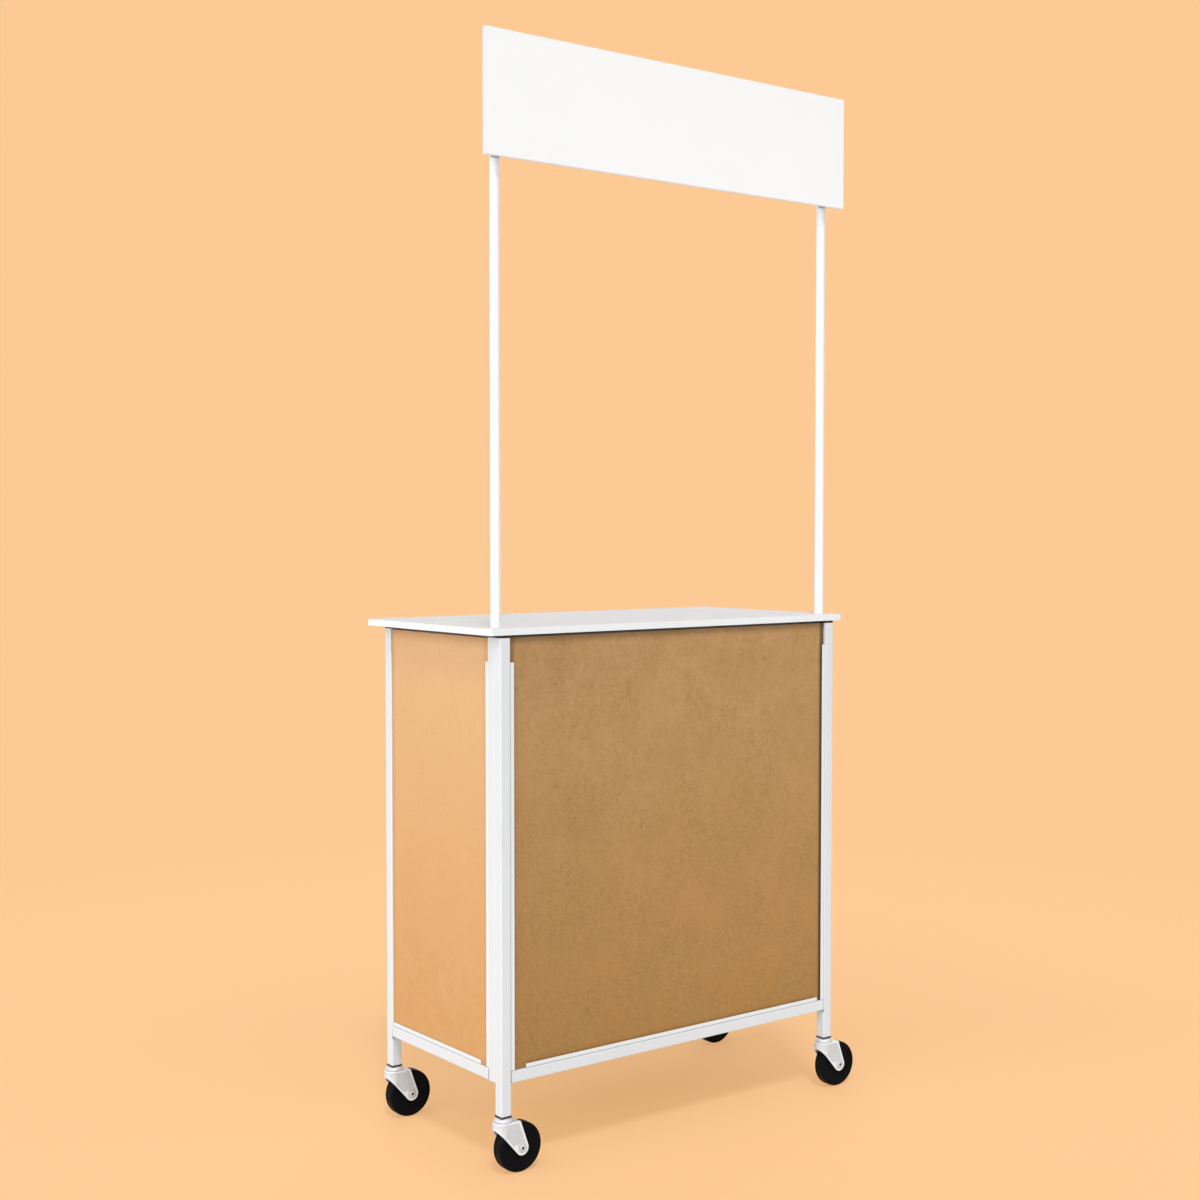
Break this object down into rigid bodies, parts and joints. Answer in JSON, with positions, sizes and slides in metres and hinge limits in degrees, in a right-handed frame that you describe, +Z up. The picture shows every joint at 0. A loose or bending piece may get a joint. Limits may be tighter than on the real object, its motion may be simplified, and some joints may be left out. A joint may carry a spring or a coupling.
{
  "type": "promotion counter",
  "caption": "Rolling counter of square tube with fibreboard panels, shelves open at the back, and a header board on two posts that lift out.",
  "frame": {"origin": "on the floor, under the middle of the bounding box", "axes": "+Z up, +X along the counter's width towards the side that the casters trail to, -Y out of the front panel"},
  "size_m": [0.9636, 0.459, 2.135],
  "materials": {
    "white_paint": "satin white powder coat on steel tube and sheet",
    "white_post": "smooth white powder coat on round steel tube",
    "fibreboard": "bare sanded fibreboard with a faint mottle",
    "laminate": "satin white melamine laminate on board",
    "edge_band": "white edge band",
    "header_face": "matte white foamed plastic board, bare",
    "white_plastic": "moulded white plastic",
    "black_plastic": "moulded black plastic",
    "black_wheel": "solid moulded black wheel, slightly satin",
    "zinc_steel": "bright zinc plating on pressed and turned steel"
  },
  "bodies": {
    "frame": {"leg_front_left": "white_paint", "leg_front_right": "white_paint", "leg_back_left": "white_paint", "leg_back_right": "white_paint", "post_socket_left": "white_paint", "post_socket_right": "white_paint", "bottom_rail_front": "white_paint", "bottom_rail_back": "white_paint", "bottom_rail_left": "white_paint", "bottom_rail_right": "white_paint", "cross_rail_left": "white_paint", "cross_rail_right": "white_paint", "top_rail_front": "white_paint", "top_rail_back": "white_paint", "top_rail_left": "white_paint", "top_rail_right": "white_paint", "shelf_rail_left": "white_paint", "shelf_rail_right": "white_paint", "front_channels": "white_paint", "left_channels": "white_paint", "right_channels": "white_paint", "front_panel": "fibreboard", "left_panel": "fibreboard", "right_panel": "fibreboard", "countertop": "laminate", "countertop_edge": "edge_band", "middle_shelf": "fibreboard", "bottom_shelf": "fibreboard", "countertop_screws": "zinc_steel", "shelf_screws": "zinc_steel", "leg_top_plugs": "black_plastic", "socket_spacers": "black_plastic", "socket_stops": "black_plastic", "caster_inserts": "black_plastic", "swivel_balls": "zinc_steel", "stem_front_left": "zinc_steel", "stem_front_right": "zinc_steel", "stem_back_left": "zinc_steel", "stem_back_right": "zinc_steel"},
    "header": {"post_left": "white_post", "post_right": "white_post", "post_caps": "white_plastic", "header_board": "header_face", "post_clips": "white_plastic", "clip_screws": "zinc_steel"},
    "swivel_front_left": {"fork_front_left": "zinc_steel", "axle_front_left": "zinc_steel"},
    "roller_front_left": {"wheel_front_left": "black_wheel"},
    "swivel_front_right": {"fork_front_right": "zinc_steel", "axle_front_right": "zinc_steel"},
    "roller_front_right": {"wheel_front_right": "black_wheel"},
    "swivel_back_left": {"fork_back_left": "zinc_steel", "axle_back_left": "zinc_steel"},
    "roller_back_left": {"wheel_back_left": "black_wheel"},
    "swivel_back_right": {"fork_back_right": "zinc_steel", "axle_back_right": "zinc_steel"},
    "roller_back_right": {"wheel_back_right": "black_wheel"}
  },
  "joints": [
    {"name": "header_lift", "type": "slide", "parent": "frame", "child": "header", "axis": [0, 0, 1], "range_m": [0, 0.3]},
    {"name": "caster_swivel_front_left", "type": "hinge", "parent": "frame", "child": "swivel_front_left", "pos_m": [-0.44325, -0.2095, 0.048], "axis": [0, 0, 1], "continuous": true},
    {"name": "wheel_spin_front_left", "type": "hinge", "parent": "swivel_front_left", "child": "roller_front_left", "pos_m": [-0.41125, -0.2095, 0.048], "axis": [0, 1, 0], "continuous": true},
    {"name": "caster_swivel_front_right", "type": "hinge", "parent": "frame", "child": "swivel_front_right", "pos_m": [0.40175, -0.2095, 0.048], "axis": [0, 0, 1], "continuous": true},
    {"name": "wheel_spin_front_right", "type": "hinge", "parent": "swivel_front_right", "child": "roller_front_right", "pos_m": [0.43375, -0.2095, 0.048], "axis": [0, 1, 0], "continuous": true},
    {"name": "caster_swivel_back_left", "type": "hinge", "parent": "frame", "child": "swivel_back_left", "pos_m": [-0.44325, 0.1885, 0.048], "axis": [0, 0, 1], "continuous": true},
    {"name": "wheel_spin_back_left", "type": "hinge", "parent": "swivel_back_left", "child": "roller_back_left", "pos_m": [-0.41125, 0.1885, 0.048], "axis": [0, 1, 0], "continuous": true},
    {"name": "caster_swivel_back_right", "type": "hinge", "parent": "frame", "child": "swivel_back_right", "pos_m": [0.40175, 0.1885, 0.048], "axis": [0, 0, 1], "continuous": true},
    {"name": "wheel_spin_back_right", "type": "hinge", "parent": "swivel_back_right", "child": "roller_back_right", "pos_m": [0.43375, 0.1885, 0.048], "axis": [0, 1, 0], "continuous": true}
  ]
}
